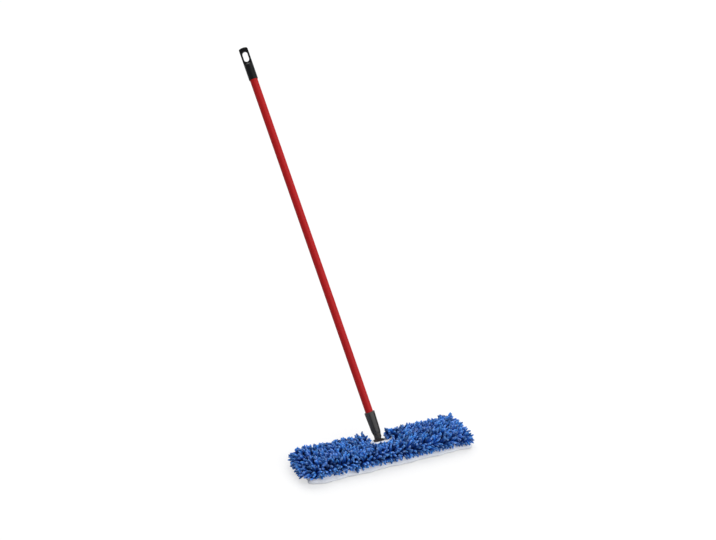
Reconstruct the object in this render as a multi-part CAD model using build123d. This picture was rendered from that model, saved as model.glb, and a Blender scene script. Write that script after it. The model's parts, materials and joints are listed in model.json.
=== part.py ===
"""Two-sided microfibre flip mop: red tube handle, swivel tee and a padded head that turns over on an axle.

The head lies on its white face with its centre at the origin. X runs along the head, +Y towards the
notched back edge and +Z up. The handle stands in the notch, leaning back and a little to the left.
"""
from build123d import *
import math
import os
import random

# Head: a moulded frame between two foam sheets, in a sleeve of white cloth below and chenille above
HEAD_LENGTH = 462.0
HEAD_WIDTH = 132.0
HEAD_CORNER = 24.0
FRAME_HEIGHT = 13.0
FOAM = 3.0
CLOTH = 2.5
SEAM_HEIGHT = 15.0
SEAM_ROUND = 1.5
EDGE_ROUND = 6.0

# Notch in the back edge, lined with a white binding
NOTCH_WIDTH = 50.0
NOTCH_DEPTH = 42.0
NOTCH_CORNER = 8.0
BINDING = 2.0
RIM_WIDTH = 8.0
RIM_HEIGHT = 2.0
RIM_ROUND = 0.9
BINDING_LIFT = 0.8

# Chenille fingers; lean, splay and swing in degrees
FINGER_WIDTH = 7.6
FINGER_LENGTH = 13.5
FINGER_TAPER = 3.0
FINGER_PITCH = 13.8
FINGER_ROOT = 0.5
FINGER_INSET = 6.8
SIDE_FINGER_LENGTH = 12.0
COMBED_FINGER_LENGTH = 24.0
SIDE_FINGER_WIDTH = 6.0
SIDE_FINGER_RISE = 8.0
SPLAY = 26.0
END_SPLAY_POWER = 5
SIDE_SPLAY_POWER = 3
WOBBLE = 5.0
LENGTH_SCATTER = 0.08
SCATTER_SEED = 7

# Moulded frame
FRAME_GAP = 1.5
FRAME_WALL = 3.5
FRAME_SKIN = 2.0
RIB = 4.0
RIB_COLUMNS = 10
WINDOW_LIP = 5.0
BOSS_D = 9.0
SCREW_D = 2.9
SCREW_HEAD_D = 5.8
SCREW_HEAD_HEIGHT = 1.8
SCREW_BITE = 4.5

# Flip axle, swivel tee and swivel pin
AXLE_D = 6.0
AXLE_EASE = 0.5
AXLE_SETBACK = 20.0
AXLE_GRIP = 10.0
TEE_LENGTH = 30.0
TEE_BARREL_D = 14.0
TEE_SHOULDER = 4.6
TEE_THICK = 11.0
TEE_EYE_D = 17.0
TEE_FLARE = 4.0
TEE_EDGE = 1.2
PIN_D = 6.0
PIN_HEAD_D = 8.8
PIN_HEAD_HEIGHT = 1.4
PIN_HEAD_ROUND = 0.8
PIN_HEIGHT = 19.0

# Handle socket
SOCKET_REACH = 66.0
SOCKET_RIM_D = 29.4
SOCKET_FOOT_D = 25.0
SOCKET_TIP_D = 21.0
SOCKET_BAND = 4.0
SOCKET_LIP_ROUND = 1.0
SOCKET_GRIP = 24.0
SOCKET_FLOOR = 3.0
GROOVE_COUNT = 6
GROOVE_WIDTH = 3.6
GROOVE_DEPTH = 1.3
GROOVE_ROUND = 1.6

# Handle tube, threaded tip and hanger cap
TUBE_D = 22.0
TUBE_WALL = 0.7
TUBE_LENGTH = 1033.0
TIP_PLUG = 32.0
TIP_FLANGE = 2.0
TIP_CHAMFER = 1.0
TIP_SPIGOT_D = 16.0
CAP_D = 25.4
CAP_LENGTH = 92.0
CAP_COLLAR = 43.0
CAP_GRIP = 38.0
CAP_SHOULDER = 6.0
CAP_CROWN = 3.0
CAP_CORNER = 4.0
PADDLE_THICK = 9.0
SLOT_WIDTH = 14.7
SLOT_LENGTH = 29.0
SLOT_TOP_WALL = 11.5
CAP_TURN = 24.0

# Fits
RUN_FIT = 0.05
SEAT_FIT = 0.1
MOVE_FIT = 0.3

# Lean of the handle, in degrees
LEAN_BACK = 27.5
LEAN_SIDE = 9.2

CORE_HEIGHT = FRAME_HEIGHT + 2 * (FOAM + CLOTH)
MID = CORE_HEIGHT / 2
BACK_EDGE = HEAD_WIDTH / 2
NOTCH_FRONT = BACK_EDGE - NOTCH_DEPTH
LINED_NOTCH = BINDING + MOVE_FIT
SIDE_CUT = NOTCH_WIDTH / 2 + LINED_NOTCH
HEAD_END = HEAD_LENGTH / 2
AXLE_Y = BACK_EDGE - AXLE_SETBACK
AXLE_LENGTH = NOTCH_WIDTH + 2 * (LINED_NOTCH + AXLE_GRIP)
EYE_CLEAR = TEE_EYE_D / 2 + 2 * MOVE_FIT
TUBE_START = SOCKET_REACH - SOCKET_GRIP
CAP_START = TUBE_START + TUBE_LENGTH - CAP_GRIP

TEE_PLACE = Pos(0, AXLE_Y, MID) * Rot(-LEAN_BACK, 0, 0)
HANDLE_PLACE = TEE_PLACE * Pos(0, 0, PIN_HEIGHT) * Rot(0, -LEAN_SIDE, 0)


def along_x(radius, length):
    """Cylinder on the X axis, centred."""
    return Rot(0, 90, 0) * Cylinder(radius, length)


def along_y(radius, length):
    """Cylinder on the Y axis, centred."""
    return Rot(90, 0, 0) * Cylinder(radius, length)


def notch_plan(grow):
    """The notch as a flat shape, grown on its three walls and open past the back edge."""
    depth = 2 * (NOTCH_DEPTH + grow)
    shape = RectangleRounded(NOTCH_WIDTH + 2 * grow, depth, NOTCH_CORNER + grow)
    return Pos(0, NOTCH_FRONT - grow + depth / 2) * shape


def head_plan(inset):
    """The head's outline, drawn in from its edge."""
    corner = HEAD_CORNER - inset
    return RectangleRounded(HEAD_LENGTH - 2 * inset, HEAD_WIDTH - 2 * inset, corner)


def slab(plan, bottom, top):
    """A flat shape raised between two heights."""
    return Pos(0, 0, bottom) * extrude(plan, top - bottom)


def notched(plan, grow):
    """A head outline with the notch taken out."""
    return plan - notch_plan(grow)


def make_base_cloth():
    """White floor cloth: a shallow tray with rounded lower edges, drawn in a little at the seam."""
    tray = slab(head_plan(0), 0, SEAM_HEIGHT)
    tray = fillet(tray.edges().group_by(Axis.Z)[0], EDGE_ROUND)
    tray = fillet(tray.edges().group_by(Axis.Z)[-1], SEAM_ROUND)
    tray -= slab(head_plan(CLOTH), CLOTH, CORE_HEIGHT)
    return tray - slab(notch_plan(LINED_NOTCH), -CLOTH, CORE_HEIGHT)


def make_foam(bottom):
    """Foam sheet that fills the sleeve between cloth and frame."""
    return slab(notched(head_plan(CLOTH + MOVE_FIT), LINED_NOTCH + MOVE_FIT), bottom, bottom + FOAM)


def make_notch_binding():
    """White lining of the notch, with a flat rim turned over onto the chenille cloth."""
    wall = slab(notch_plan(BINDING) - notch_plan(0), BINDING_LIFT, CORE_HEIGHT)
    rim = slab(notch_plan(BINDING + RIM_WIDTH) - notch_plan(0), CORE_HEIGHT, CORE_HEIGHT + RIM_HEIGHT)
    rim = fillet(rim.edges().group_by(Axis.Z)[-1], RIM_ROUND)
    lining = wall + rim
    lining -= Pos(0, BACK_EDGE - EDGE_ROUND + HEAD_WIDTH / 2, 0) * Box(HEAD_LENGTH, HEAD_WIDTH, 4 * CORE_HEIGHT)
    return lining - Pos(0, AXLE_Y, MID) * along_x(FRAME_HEIGHT / 2 + MOVE_FIT, HEAD_LENGTH)


def rib_places():
    """Distances of the frame's cross ribs from the middle."""
    pitch = HEAD_LENGTH / RIB_COLUMNS
    return [pitch * k for k in range(1, RIB_COLUMNS // 2)]


def screw_places():
    """Screws stand where each cross rib meets the long rib."""
    return [(side * x, 0) for x in rib_places() for side in (-1, 1)]


def frame_pockets(margin):
    """The hollows between the frame's walls, ribs, bosses and axle blocks, drawn in by a margin."""
    plan = notched(head_plan(CLOTH + FRAME_GAP + FRAME_WALL + margin), LINED_NOTCH + FRAME_WALL + margin)
    plan -= Rectangle(HEAD_LENGTH, RIB + 2 * margin)
    for x in rib_places():
        for side in (-1, 1):
            plan -= Pos(side * x, 0) * Rectangle(RIB + 2 * margin, HEAD_WIDTH)
    for x, y in screw_places():
        plan -= Pos(x, y) * Circle(BOSS_D / 2 + margin)
    block = AXLE_LENGTH + 2 * (FRAME_WALL + margin)
    return plan - Pos(0, AXLE_Y) * Rectangle(block, FRAME_HEIGHT + 2 * margin)


def make_frame_half(upper):
    """One moulded half of the frame, with windows, ribs and half of each axle lug."""
    bottom = MID - FRAME_HEIGHT / 2
    half = slab(notched(head_plan(CLOTH + FRAME_GAP), LINED_NOTCH), bottom, MID)
    half -= slab(frame_pockets(0), bottom + FRAME_SKIN, MID)
    half -= slab(frame_pockets(WINDOW_LIP), bottom, MID)
    lug_face = TEE_LENGTH / 2 + MOVE_FIT
    lug_length = NOTCH_WIDTH / 2 + LINED_NOTCH + FRAME_WALL - lug_face
    above = Pos(0, 0, FRAME_HEIGHT / 2) * Box(HEAD_LENGTH, HEAD_WIDTH, FRAME_HEIGHT)
    lug = along_x(FRAME_HEIGHT / 2, lug_length) - above
    half += [Pos(side * (lug_face + lug_length / 2), AXLE_Y, MID) * lug for side in (-1, 1)]
    half -= Pos(0, AXLE_Y, MID) * along_x(AXLE_D / 2 + RUN_FIT, AXLE_LENGTH + 2 * RUN_FIT)
    if upper:
        half = mirror(half, Plane.XY.offset(MID))
    top = MID + FRAME_HEIGHT / 2
    for x, y in screw_places():
        if upper:
            half -= Pos(x, y, MID) * Cylinder(SCREW_D / 2 + SEAT_FIT, 2 * FRAME_HEIGHT)
            half -= Pos(x, y, top) * Cylinder(SCREW_HEAD_D / 2 + SEAT_FIT, 2 * SCREW_HEAD_HEIGHT)
        else:
            half -= Pos(x, y, MID) * Cylinder(SCREW_D / 2 + RUN_FIT, 2 * (SCREW_BITE + RUN_FIT))
    return half


def make_frame_screws():
    """Self-tapping screws from the upper half into the lower half."""
    seat = MID + FRAME_HEIGHT / 2 - SCREW_HEAD_HEIGHT
    tip = MID - SCREW_BITE
    shank = slab(Circle(SCREW_D / 2), tip, seat)
    head = slab(Circle(SCREW_HEAD_D / 2), seat, seat + SCREW_HEAD_HEIGHT)
    screw = shank + head
    return Compound(children=[Pos(x, y, 0) * screw for x, y in screw_places()])


def finger(length, width, root, lean):
    """One chenille finger from its root point along a leaning direction."""
    stub = extrude(Rectangle(width, width), length, taper=FINGER_TAPER)
    return Location(Plane(root, z_dir=lean)) * stub


def field_fingers(low_x, high_x, scatter):
    """Fingers that stand on the top of the head between two cuts, splayed towards its edges."""
    rows = int((HEAD_WIDTH - 2 * FINGER_INSET) // FINGER_PITCH) + 1
    columns = int((high_x - low_x - 2 * FINGER_INSET) // FINGER_PITCH) + 1
    start_x = (low_x + high_x - (columns - 1) * FINGER_PITCH) / 2
    bare = BINDING + RIM_WIDTH + FINGER_INSET
    fingers = []
    for row in range(rows):
        y = (row - (rows - 1) / 2) * FINGER_PITCH
        for column in range(columns):
            x = start_x + column * FINGER_PITCH
            if abs(x) < NOTCH_WIDTH / 2 + bare and y > NOTCH_FRONT - bare:
                continue
            corner_x = abs(x) - (HEAD_LENGTH / 2 - HEAD_CORNER)
            corner_y = abs(y) - (HEAD_WIDTH / 2 - HEAD_CORNER)
            if min(corner_x, corner_y) > 0 and math.hypot(corner_x, corner_y) > HEAD_CORNER - FINGER_INSET:
                continue
            lean_x = SPLAY * (x / HEAD_END) ** END_SPLAY_POWER + WOBBLE * scatter.uniform(-1, 1)
            lean_y = SPLAY * (y / BACK_EDGE) ** SIDE_SPLAY_POWER + WOBBLE * scatter.uniform(-1, 1)
            lean = (math.tan(math.radians(lean_x)), math.tan(math.radians(lean_y)), 1)
            length = FINGER_LENGTH * (1 + LENGTH_SCATTER * scatter.uniform(-1, 1))
            fingers.append(finger(length, FINGER_WIDTH, (x, y, CORE_HEIGHT - FINGER_ROOT), lean))
    return fingers


def side_fingers(low_x, high_x, scatter):
    """Fingers that stand out from the turned-down edge between two cuts, combed out long at the left end."""
    edge = head_plan(FINGER_ROOT).faces()[0].outer_wire()
    count = int(edge.length // FINGER_PITCH)
    height = (SEAM_HEIGHT + CORE_HEIGHT) / 2
    rise = math.tan(math.radians(SIDE_FINGER_RISE))
    fingers = []
    for number in range(count):
        root = edge.position_at(number / count)
        out = edge.tangent_at(number / count).cross(Vector(0, 0, 1))
        out = out if out.dot(root) > 0 else -out
        beside_notch = root.Y > 0 and abs(root.X) < SIDE_CUT + SIDE_FINGER_WIDTH
        on_cut = abs(abs(root.X) - SIDE_CUT) < SIDE_FINGER_WIDTH / 2
        if beside_notch or on_cut or not low_x < root.X < high_x:
            continue
        lean = out.rotate(Axis.Z, WOBBLE * scatter.uniform(-1, 1)) + Vector(0, 0, rise)
        length = SIDE_FINGER_LENGTH + (COMBED_FINGER_LENGTH - SIDE_FINGER_LENGTH) * max(0, -out.X)
        length *= 1 + LENGTH_SCATTER * scatter.uniform(-1, 1)
        fingers.append(finger(length, SIDE_FINGER_WIDTH, root + Vector(0, 0, height), lean))
    return fingers


def make_chenille(low_x, high_x):
    """One field of the chenille cloth: its turned-down backing with the fingers grown on it."""
    lid = slab(head_plan(0), SEAM_HEIGHT, CORE_HEIGHT)
    lid = fillet(lid.edges().group_by(Axis.Z)[-1], EDGE_ROUND)
    lid -= slab(head_plan(CLOTH), 0, CORE_HEIGHT - CLOTH)
    lid -= slab(notch_plan(LINED_NOTCH), 0, 2 * CORE_HEIGHT)
    lid &= Pos((low_x + high_x) / 2, 0, CORE_HEIGHT) * Box(high_x - low_x, 2 * HEAD_WIDTH, 2 * CORE_HEIGHT)
    scatter = random.Random(SCATTER_SEED)
    return lid.fuse(*field_fingers(low_x, high_x, scatter), *side_fingers(low_x, high_x, scatter))


def make_flip_axle():
    """Steel pin on which the head turns over, with eased ends."""
    axle = along_x(AXLE_D / 2, AXLE_LENGTH)
    axle = chamfer(axle.edges().filter_by(GeomType.CIRCLE), AXLE_EASE)
    return Pos(0, AXLE_Y, MID) * axle


def make_swivel_tee():
    """Tee: a barrel on the flip axle, and a flat stem with an eye for the swivel pin."""
    stem = Pos(0, PIN_HEIGHT / 2) * Rectangle(TEE_EYE_D, PIN_HEIGHT)
    outline = stem + Rectangle(TEE_LENGTH, 2 * TEE_SHOULDER)
    inner_corners = outline.vertices().group_by(Axis.Y)[1].sort_by(Axis.X)[1:-1]
    outline = fillet(inner_corners, TEE_FLARE)
    outline += Pos(0, PIN_HEIGHT) * Circle(TEE_EYE_D / 2)
    blade = extrude(Plane.XZ * outline, TEE_THICK / 2, both=True)
    blade = fillet(blade.edges().group_by(Axis.Y)[0] + blade.edges().group_by(Axis.Y)[-1], TEE_EDGE)
    barrel = along_x(TEE_BARREL_D / 2, TEE_LENGTH)
    barrel = fillet(barrel.edges().filter_by(GeomType.CIRCLE), TEE_EDGE)
    tee = blade + barrel
    tee -= along_x(AXLE_D / 2 + RUN_FIT, 2 * TEE_LENGTH)
    tee -= Pos(0, 0, PIN_HEIGHT) * along_y(PIN_D / 2 + RUN_FIT, 2 * TEE_THICK)
    return TEE_PLACE * tee


def make_handle_socket():
    """Tapered socket with six grooves, a bore for the tube and a clevis for the tee."""
    tip = SOCKET_TIP_D / 2
    foot = SOCKET_FOOT_D / 2
    rim = SOCKET_RIM_D / 2
    outline = Polyline(
        (0, -tip), (tip, -tip), (tip, 0), (foot, EYE_CLEAR), (rim, SOCKET_REACH), (0, SOCKET_REACH), close=True)
    body = revolve(Plane.XZ * make_face(outline), Axis.Z)
    body = fillet(body.edges().group_by(Axis.Z)[-1], SOCKET_LIP_ROUND)
    taper = math.degrees(math.atan2(rim - foot, SOCKET_REACH - EYE_CLEAR))
    groove_top = SOCKET_REACH - SOCKET_BAND
    groove_length = groove_top - EYE_CLEAR
    groove_mid = (groove_top + EYE_CLEAR) / 2
    skin = foot + (rim - foot) * (groove_mid - EYE_CLEAR) / (SOCKET_REACH - EYE_CLEAR)
    groove = Box(2 * GROOVE_DEPTH, GROOVE_WIDTH, groove_length)
    groove = fillet(groove.edges().filter_by(Axis.X), GROOVE_ROUND)
    groove = Pos(skin, 0, groove_mid) * Rot(0, taper, 0) * groove
    for k in range(GROOVE_COUNT):
        body -= Rot(0, 0, k * 360 / GROOVE_COUNT) * groove
    tip_round = along_y(tip, 4 * foot) + Pos(0, 0, SOCKET_REACH) * Box(4 * foot, 4 * foot, 2 * SOCKET_REACH)
    body &= tip_round
    fork = TEE_THICK + 2 * MOVE_FIT
    body -= Pos(0, 0, EYE_CLEAR - SOCKET_REACH) * Box(4 * foot, fork, 2 * SOCKET_REACH)
    seat = TUBE_START - TIP_FLANGE
    body -= slab(Circle(TUBE_D / 2 + SEAT_FIT), seat, 2 * SOCKET_REACH)
    body -= slab(Circle(TIP_SPIGOT_D / 2 + SEAT_FIT), EYE_CLEAR + SOCKET_FLOOR, SOCKET_REACH)
    body -= along_y(PIN_D / 2 + RUN_FIT, 4 * foot)
    recess = tip - PIN_HEAD_HEIGHT
    for side in (-1, 1):
        body -= Pos(0, side * (recess + foot), 0) * along_y(PIN_HEAD_D / 2 + SEAT_FIT, 2 * foot)
    return HANDLE_PLACE * body


def make_swivel_pin():
    """Rivet across the clevis, with a low round head in a recess at each side."""
    recess = SOCKET_TIP_D / 2 - PIN_HEAD_HEIGHT
    pin = along_y(PIN_D / 2, 2 * recess)
    for side in (-1, 1):
        pin += Pos(0, side * (recess + PIN_HEAD_HEIGHT / 2), 0) * along_y(PIN_HEAD_D / 2, PIN_HEAD_HEIGHT)
    ends = pin.edges().filter_by(GeomType.CIRCLE).group_by(Axis.Y)
    pin = fillet(ends[0] + ends[-1], PIN_HEAD_ROUND)
    return HANDLE_PLACE * pin


def make_threaded_tip():
    """Plug in the tube's lower end, with a flange under the tube and a spigot in the socket."""
    bore = TUBE_D / 2 - TUBE_WALL
    plug = slab(Circle(bore - SEAT_FIT), TUBE_START, TUBE_START + TIP_PLUG)
    plug = chamfer(plug.edges().group_by(Axis.Z)[-1], TIP_CHAMFER)
    flange = slab(Circle(TUBE_D / 2), TUBE_START - TIP_FLANGE, TUBE_START)
    spigot = slab(Circle(TIP_SPIGOT_D / 2), EYE_CLEAR + SOCKET_FLOOR, TUBE_START - TIP_FLANGE)
    return HANDLE_PLACE * (plug + flange + spigot)


def make_handle_tube():
    """Thin steel tube."""
    ring = Circle(TUBE_D / 2) - Circle(TUBE_D / 2 - TUBE_WALL)
    return HANDLE_PLACE * slab(ring, TUBE_START, TUBE_START + TUBE_LENGTH)


def make_hanger_cap():
    """Cap over the tube's top end: a round collar that flattens into a paddle with a hanging slot."""
    half_width = CAP_D / 2
    half_thick = PADDLE_THICK / 2
    corner_z = CAP_LENGTH - CAP_CROWN
    front = Polyline((-half_width, corner_z), (-half_width, 0), (half_width, 0), (half_width, corner_z))
    front += ThreePointArc((half_width, corner_z), (0, CAP_LENGTH), (-half_width, corner_z))
    front = make_face(front)
    front = fillet(front.vertices().group_by(Axis.Y)[-1], CAP_CORNER)
    side = make_face(Polyline(
        (-half_width, 0), (half_width, 0), (half_width, CAP_COLLAR), (half_thick, CAP_COLLAR + CAP_SHOULDER),
        (half_thick, CAP_LENGTH), (-half_thick, CAP_LENGTH), (-half_thick, CAP_COLLAR + CAP_SHOULDER),
        (-half_width, CAP_COLLAR), close=True))
    cap = slab(Circle(half_width), 0, CAP_LENGTH)
    cap &= extrude(Plane.XZ * front, CAP_D, both=True)
    cap &= extrude(Plane.YZ * side, CAP_D, both=True)
    slot = Pos(0, CAP_LENGTH - SLOT_TOP_WALL - SLOT_LENGTH / 2) * SlotOverall(SLOT_LENGTH, SLOT_WIDTH, 90)
    cap -= extrude(Plane.XZ * slot, CAP_D, both=True)
    cap -= slab(Circle(TUBE_D / 2 + SEAT_FIT), -CAP_GRIP, CAP_GRIP)
    return HANDLE_PLACE * Pos(0, 0, CAP_START) * Rot(0, 0, -CAP_TURN) * cap


PIECES = {
    "hanger_cap": make_hanger_cap(),
    "handle_tube": make_handle_tube(),
    "threaded_tip": make_threaded_tip(),
    "handle_socket": make_handle_socket(),
    "swivel_pin": make_swivel_pin(),
    "swivel_tee": make_swivel_tee(),
    "flip_axle": make_flip_axle(),
    "frame_lower_half": make_frame_half(upper=False),
    "frame_upper_half": make_frame_half(upper=True),
    "frame_screws": make_frame_screws(),
    "base_foam": make_foam(CLOTH),
    "top_foam": make_foam(CORE_HEIGHT - CLOTH - FOAM),
    "base_cloth": make_base_cloth(),
    "notch_binding": make_notch_binding(),
    "chenille_left": make_chenille(-HEAD_END, -SIDE_CUT),
    "chenille_front": make_chenille(-SIDE_CUT, SIDE_CUT),
    "chenille_right": make_chenille(SIDE_CUT, HEAD_END),
}

os.makedirs("parts", exist_ok=True)
for name, piece in PIECES.items():
    export_step(piece, f"parts/{name}.step")
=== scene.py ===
"""Looks of a two-sided microfibre flip mop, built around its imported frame.

The chenille fingers, the padded sleeve and the notch's lining are new pieces. The handle, the swivel joint
and the moulded frame keep their shapes and get their finishes here.
"""
import json
import math
import random

import bmesh
import bpy
from mathutils import Matrix, Vector
from mathutils.bvhtree import BVHTree


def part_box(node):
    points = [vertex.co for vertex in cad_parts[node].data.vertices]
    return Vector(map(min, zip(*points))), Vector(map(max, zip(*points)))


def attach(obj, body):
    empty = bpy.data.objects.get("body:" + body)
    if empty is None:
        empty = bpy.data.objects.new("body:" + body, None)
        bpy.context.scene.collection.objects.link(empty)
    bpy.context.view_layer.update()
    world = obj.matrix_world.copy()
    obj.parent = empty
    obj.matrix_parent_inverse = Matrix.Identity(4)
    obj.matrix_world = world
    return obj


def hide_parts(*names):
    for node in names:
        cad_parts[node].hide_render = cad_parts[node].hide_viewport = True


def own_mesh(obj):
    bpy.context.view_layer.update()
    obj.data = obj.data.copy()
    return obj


bl_info = {
    "name": "Microfibre flip mop",
    "version": (1, 0, 0),
    "blender": (4, 5, 0),
    "location": "3D View > Sidebar > Flip mop",
    "description": "Sews, plants and paints a flip mop around its frame, and sets up its studio",
    "category": "Object",
}

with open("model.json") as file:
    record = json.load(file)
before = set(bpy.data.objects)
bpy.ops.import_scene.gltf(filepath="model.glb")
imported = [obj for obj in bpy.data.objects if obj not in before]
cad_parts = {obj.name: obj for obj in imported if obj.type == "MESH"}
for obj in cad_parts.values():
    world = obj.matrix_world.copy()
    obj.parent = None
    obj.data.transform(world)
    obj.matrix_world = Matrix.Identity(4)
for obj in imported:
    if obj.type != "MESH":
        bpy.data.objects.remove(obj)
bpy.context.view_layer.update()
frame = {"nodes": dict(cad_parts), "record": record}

MM = 0.001
UP = Vector((0, 0, 1))
HEAD = "head"
HALF_LENGTH, HALF_WIDTH, SEAM_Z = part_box("base_cloth")[1]
LINING_LOW, LINING_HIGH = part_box("notch_binding")
# Top of the stuffed head: as much cloth lies over the upper foam as under the lower one
CORE_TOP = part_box("top_foam")[1].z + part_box("base_foam")[0].z
# Frames in which the stuffed cloth settles
SETTLING_FRAMES = 20
# Corner radius of the line that the edge fingers are spaced along, and half of its straight runs
EDGE_CORNER = 30 * MM
STRAIGHT_X, STRAIGHT_Y = HALF_LENGTH - EDGE_CORNER, HALF_WIDTH - EDGE_CORNER
# Thickness of a finger at even steps from its root to its tip, as shares of the full one
FINGER_SHAPE = (0.75, 1.0, 0.88, 1.04, 0.9, 1.04, 0.86, 0.5)
# Bends of the fingers that the pile is copied from, in degrees
FINGER_BENDS = (10, 28, 45, 62)


def linear(code):
    """An sRGB hex colour as linear RGBA."""
    shares = [int(code[k:k + 2], 16) / 255 for k in (1, 3, 5)]
    return [c / 12.92 if c <= 0.04045 else ((c + 0.055) / 1.055) ** 2.4 for c in shares] + [1.0]


def colour(name, code, description):
    """A colour setting, given as sRGB hex."""
    return bpy.props.FloatVectorProperty(
        name=name, description=description, subtype="COLOR", size=4, min=0, max=1, default=linear(code))


def length(name, millimetres, description):
    """A length setting, given in millimetres."""
    return bpy.props.FloatProperty(
        name=name, description=description, subtype="DISTANCE", unit="LENGTH", min=0,
        default=millimetres * MM)


def degrees(name, value, description):
    """An angle setting, given in degrees."""
    return bpy.props.FloatProperty(
        name=name, description=description, subtype="ANGLE", unit="ROTATION", default=math.radians(value))


def plain_number(name, value, description):
    """A setting that is a plain number."""
    return bpy.props.FloatProperty(name=name, description=description, default=value)


class MopSleeveSettings(bpy.types.PropertyGroup):
    """Sizes of the padded sleeve and of the notch's lining"""
    rim: length("Lining rim", 10.0, "Thickness of the lining and its turned-over rim, from the notch's face")
    seam_allowance: length(
        "Seam allowance", 2.3, "Gap between the notch's face and the sleeve behind the lining")
    corner: length("Corner radius", 13.0, "Radius of the sleeve's corners in plan")
    slack: length("Slack", 2.0, "How much smaller the sleeve is cut than it ends up when it is stuffed")
    cloth_grid: length("Cloth grid", 4.5, "Spacing of the simulated cloth's points")
    swell: length("Swell", 4.0, "Furthest that stuffing may push a point of the cloth")
    stuffing: plain_number("Stuffing", 4.0, "Pressure inside the sleeve")
    pucker: length("Pucker depth", 2.4, "Depth of the gathers beside the seam")
    pucker_spacing: length("Pucker spacing", 17.0, "Distance from one gather to the next")
    seam_draw: length("Seam draw", 1.2, "How far the seam's thread draws the cloth in")
    ear: length("Corner ear", 9.0, "How far the floor cloth's corners stick out")
    overhang: length("End overhang", 20.0, "How far the sleeve's loose end hangs over at the left")
    roll: length("Front roll", 13.0, "How far the floor cloth's loose fold rolls out along the front")
    lining_grid: length("Lining grid", 1.0, "Spacing of the lining's points")


class MopPileSettings(bpy.types.PropertyGroup):
    """Sizes of the chenille fingers"""
    finger_length: length("Finger length", 22.0, "Length of a chenille finger")
    finger_width: length("Finger width", 6.1, "Thickness of a chenille finger")
    pitch: length("Pitch", 7.5, "Distance from one finger to the next")
    parting: length("Parting", 24.0, "Distance of the pile's parting from the head's front edge")
    seed: bpy.props.IntProperty(name="Seed", description="Picks one scatter of the fingers", default=11)


class MopColourSettings(bpy.types.PropertyGroup):
    """Colours of the mop"""
    # Painted shade at a finger's root, deep in the pile; the body, end and tip colours grow lighter outwards
    # as painted light
    finger_root: colour("Finger root", "#022068", "Shaded root of a chenille finger")
    finger_body: colour("Finger body", "#174a9e", "Middle of a chenille finger")
    finger_end: colour("Finger end", "#3f78c6", "Outer part of a chenille finger")
    finger_tip: colour("Finger tip", "#5d8cd4", "Tip of a chenille finger")
    # Painted highlights on the fingers' outer halves
    finger_highlight: colour("Finger fleck", "#a3bcf2", "Fibre ends that catch the light")
    finger_sheen: colour("Finger sheen", "#89bcff", "Glow of the fibres that are seen edge on")
    backing: colour("Backing", "#02154a", "Knit that the fingers grow from")
    cloth: colour("Cloth", "#eef1f8", "White microfibre cloth")
    tube: colour("Tube", "#b61316", "Coating of the handle tube")
    cap: colour("Cap", "#0d0d10", "Hanger cap")
    socket: colour("Socket", "#32302e", "Handle socket")
    tee: colour("Tee", "#3a3230", "Swivel tee")
    frame: colour("Frame", "#dfe2e6", "Moulded frame inside the head")
    steel: colour("Steel", "#b9bcc0", "Axle and screws")
    pin: colour("Pin", "#3a3735", "Blackened swivel pin")
    sky_light: colour("Sky light", "#fcfdff", "Light from all round")
    floor: colour("Floor", "#fdfdfd", "Studio floor as the camera sees it")
    floor_bounce: colour("Floor bounce", "#b4b5b6", "Studio floor as it lights the mop from below")


class MopStudioSettings(bpy.types.PropertyGroup):
    """Camera and light"""
    camera_place: bpy.props.FloatVectorProperty(
        name="Camera", description="Where the camera stands", subtype="TRANSLATION", unit="LENGTH",
        default=(-1.0080, -2.1223, 1.4511))
    camera_pitch: degrees("Pitch", 21.32, "How far the camera looks down")
    camera_turn: degrees("Turn", 23.585, "How far the camera looks to the right of the +Y axis")
    focal_length: length("Focal length", 50.28, "Focal length on a 36 mm wide sensor")
    sky: plain_number("Sky", 0.28, "Strength of the light from all round")
    key: plain_number("Key", 2.0, "Strength of the light from the right")
    key_height: degrees("Key height", 20.0, "How high the light from the right stands")
    key_turn: degrees("Key turn", 52.0, "How far to the camera's right the key light stands")
    back: plain_number("Back", 2.6, "Strength of the light from behind")
    back_height: degrees("Back height", 47.0, "How high the light from behind stands")
    back_turn: degrees("Back turn", 192.0, "How far round to the right the light from behind stands")
    light_spread: degrees("Light spread", 75.0, "How soft the shadows are")
    floor_glow: plain_number("Floor glow", 0.58, "Share of plain white in the floor as the camera sees it")


def ease(value, low, high):
    """0 below one value, 1 above another, and smooth between."""
    share = min(1.0, max(0.0, (value - low) / (high - low)))
    return share * share * (3 - 2 * share)


def activate(piece):
    """Selects one object and nothing else."""
    bpy.ops.object.select_all(action="DESELECT")
    piece.select_set(True)
    bpy.context.view_layer.objects.active = piece


def apply_modifier(piece, kind, **settings):
    """Adds a modifier with its settings and applies it."""
    activate(piece)
    modifier = piece.modifiers.new(kind.title(), kind)
    for name, value in settings.items():
        setattr(modifier, name, value)
    bpy.ops.object.modifier_apply(modifier=modifier.name)


def pick_points(piece, test):
    """In edit mode, selects the points that pass a test and nothing else."""
    bpy.ops.mesh.select_all(action="DESELECT")
    mesh = bmesh.from_edit_mesh(piece.data)
    for point in mesh.verts:
        point.select_set(test(point))
    mesh.select_flush(True)
    bmesh.update_edit_mesh(piece.data)


def pick_upright_edges(piece):
    """In edit mode, selects the edges that run along Z and nothing else."""
    bpy.ops.mesh.select_mode(type="EDGE")
    bpy.ops.mesh.select_all(action="DESELECT")
    mesh = bmesh.from_edit_mesh(piece.data)
    for edge in mesh.edges:
        along = edge.verts[1].co - edge.verts[0].co
        edge.select_set(abs(along.normalized().z) > 0.9)
    bmesh.update_edit_mesh(piece.data)


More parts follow.
